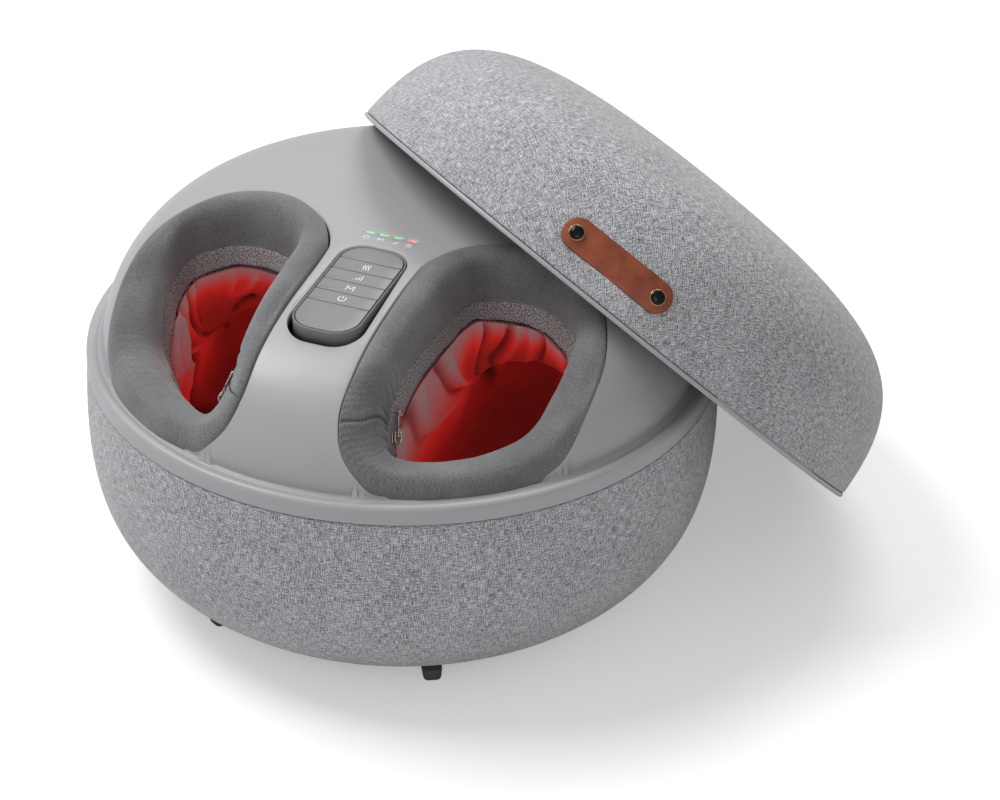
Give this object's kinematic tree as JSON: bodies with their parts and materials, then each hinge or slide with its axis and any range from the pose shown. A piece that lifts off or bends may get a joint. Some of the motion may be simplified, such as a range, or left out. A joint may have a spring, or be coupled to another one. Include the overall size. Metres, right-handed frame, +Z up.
{
  "type": "shiatsu foot massager",
  "caption": "Round foot massager with two padded foot wells, a sloping key panel and a lift-off fabric lid leaning on its back.",
  "frame": {"origin": "centre of the base's flat underside, between the feet, which reach 9 mm below it", "axes": "+Z up, +Y towards the toes and the back of the base, -Y towards the sitter, +X to the sitter's right"},
  "size_m": [0.5169, 0.5311, 0.3376],
  "materials": {
    "shell_plastic": "satin",
    "woven_fabric": "melange weave",
    "pad_fabric": "knitted",
    "tape_fabric": "woven tape",
    "liner_fabric": "soft cloth lit red from behind",
    "zip_metal": "cast and plated",
    "panel_plastic": "satin",
    "key_plastic": "matte",
    "dark_plastic": "matte",
    "foot_rubber": "matte",
    "circuit_board": "solder mask",
    "green_light": "lit",
    "red_light": "lit",
    "tag_leather": "tanned",
    "rivet_metal": "black lacquer",
    "disc_plastic": "moulded",
    "zinc_steel": "zinc plated",
    "motor_steel": "drawn can",
    "lamp_plastic": "red lens"
  },
  "bodies": {
    "base": {"base_wall": "dark_plastic", "side_cover": "woven_fabric", "bottom_plate": "dark_plastic", "base_screw_1": "zinc_steel", "base_screw_2": "zinc_steel", "base_screw_3": "zinc_steel", "base_screw_4": "zinc_steel", "foot_1": "foot_rubber", "foot_2": "foot_rubber", "foot_3": "foot_rubber", "foot_4": "foot_rubber", "foot_5": "foot_rubber", "foot_6": "foot_rubber", "top_shell": "shell_plastic", "right_well_pad": "pad_fabric", "right_zip_tape": "tape_fabric", "right_foot_liner": "liner_fabric", "right_zip_slider": "zip_metal", "left_well_pad": "pad_fabric", "left_zip_tape": "tape_fabric", "left_foot_liner": "liner_fabric", "left_zip_slider": "zip_metal", "control_panel": "panel_plastic", "control_board": "circuit_board", "power_light": "green_light", "mode_light": "green_light", "intensity_light": "green_light", "heat_light": "red_light", "main_board": "circuit_board", "power_inlet": "dark_plastic", "right_motor": "motor_steel", "right_mechanism_frame": "dark_plastic", "right_heat_lamp": "lamp_plastic", "left_motor": "motor_steel", "left_mechanism_frame": "dark_plastic", "left_heat_lamp": "lamp_plastic"},
    "lid": {"lid_rim": "shell_plastic", "lid_cover": "woven_fabric", "lid_shell": "shell_plastic", "lid_tag": "tag_leather", "tag_rivet_1": "rivet_metal", "tag_rivet_2": "rivet_metal"},
    "heat_key_body": {"heat_key": "key_plastic"},
    "intensity_key_body": {"intensity_key": "key_plastic"},
    "mode_key_body": {"mode_key": "key_plastic"},
    "power_key_body": {"power_key": "key_plastic"},
    "right_front_disc_body": {"right_front_disc": "disc_plastic"},
    "right_middle_disc_body": {"right_middle_disc": "disc_plastic", "right_worm_wheel": "disc_plastic"},
    "right_back_disc_body": {"right_back_disc": "disc_plastic"},
    "right_worm_body": {"right_worm": "zinc_steel"},
    "right_zip_pull_body": {"right_zip_pull": "zip_metal"},
    "left_front_disc_body": {"left_front_disc": "disc_plastic"},
    "left_middle_disc_body": {"left_middle_disc": "disc_plastic", "left_worm_wheel": "disc_plastic"},
    "left_back_disc_body": {"left_back_disc": "disc_plastic"},
    "left_worm_body": {"left_worm": "zinc_steel"},
    "left_zip_pull_body": {"left_zip_pull": "zip_metal"}
  },
  "joints": [
    {"name": "lid_lift", "type": "slide", "parent": "base", "child": "lid", "axis": [0, 0, 1], "range_m": [0, 0.29]},
    {"name": "heat_key_press", "type": "slide", "parent": "base", "child": "heat_key_body", "axis": [0, 0.0558, -0.9984], "range_m": [0, 0.0008], "stiffness_N_per_m": 400, "springref_m": -0.001},
    {"name": "intensity_key_press", "type": "slide", "parent": "base", "child": "intensity_key_body", "axis": [0, 0.0558, -0.9984], "range_m": [0, 0.0008], "stiffness_N_per_m": 400, "springref_m": -0.001},
    {"name": "mode_key_press", "type": "slide", "parent": "base", "child": "mode_key_body", "axis": [0, 0.0558, -0.9984], "range_m": [0, 0.0008], "stiffness_N_per_m": 400, "springref_m": -0.001},
    {"name": "power_key_press", "type": "slide", "parent": "base", "child": "power_key_body", "axis": [0, 0.0558, -0.9984], "range_m": [0, 0.0008], "stiffness_N_per_m": 400, "springref_m": -0.001},
    {"name": "right_front_disc_turn", "type": "hinge", "parent": "base", "child": "right_front_disc_body", "pos_m": [0.093, -0.105, 0.0534], "axis": [0, 0, 1], "continuous": true},
    {"name": "right_middle_disc_turn", "type": "hinge", "parent": "base", "child": "right_middle_disc_body", "pos_m": [0.093, -0.025, 0.0534], "axis": [0, 0, 1], "continuous": true},
    {"name": "right_back_disc_turn", "type": "hinge", "parent": "base", "child": "right_back_disc_body", "pos_m": [0.093, 0.055, 0.0534], "axis": [0, 0, 1], "continuous": true},
    {"name": "right_worm_turn", "type": "hinge", "parent": "base", "child": "right_worm_body", "pos_m": [0.0617, -0.025, 0.0366], "axis": [0, 1, 0], "continuous": true},
    {"name": "right_zip_pull_swing", "type": "hinge", "parent": "base", "child": "right_zip_pull_body", "pos_m": [0.06169, -0.15119, 0.18467], "axis": [0.2009, 0.7928, -0.5754], "range_deg": [0, 110]},
    {"name": "left_front_disc_turn", "type": "hinge", "parent": "base", "child": "left_front_disc_body", "pos_m": [-0.093, -0.105, 0.0534], "axis": [0, 0, 1], "continuous": true},
    {"name": "left_middle_disc_turn", "type": "hinge", "parent": "base", "child": "left_middle_disc_body", "pos_m": [-0.093, -0.025, 0.0534], "axis": [0, 0, 1], "continuous": true},
    {"name": "left_back_disc_turn", "type": "hinge", "parent": "base", "child": "left_back_disc_body", "pos_m": [-0.093, 0.055, 0.0534], "axis": [0, 0, 1], "continuous": true},
    {"name": "left_worm_turn", "type": "hinge", "parent": "base", "child": "left_worm_body", "pos_m": [-0.0617, -0.025, 0.0366], "axis": [0, 1, 0], "continuous": true},
    {"name": "left_zip_pull_swing", "type": "hinge", "parent": "base", "child": "left_zip_pull_body", "pos_m": [-0.06169, -0.15119, 0.18467], "axis": [0.2009, -0.7928, 0.5754], "range_deg": [0, 110]}
  ],
  "couplings": [
    {"joint": "right_front_disc_turn", "follows": "right_middle_disc_turn", "ratio": -1},
    {"joint": "right_back_disc_turn", "follows": "right_middle_disc_turn", "ratio": -1},
    {"joint": "right_worm_turn", "follows": "right_middle_disc_turn", "ratio": -16},
    {"joint": "left_front_disc_turn", "follows": "left_middle_disc_turn", "ratio": -1},
    {"joint": "left_back_disc_turn", "follows": "left_middle_disc_turn", "ratio": -1},
    {"joint": "left_worm_turn", "follows": "left_middle_disc_turn", "ratio": -16}
  ]
}
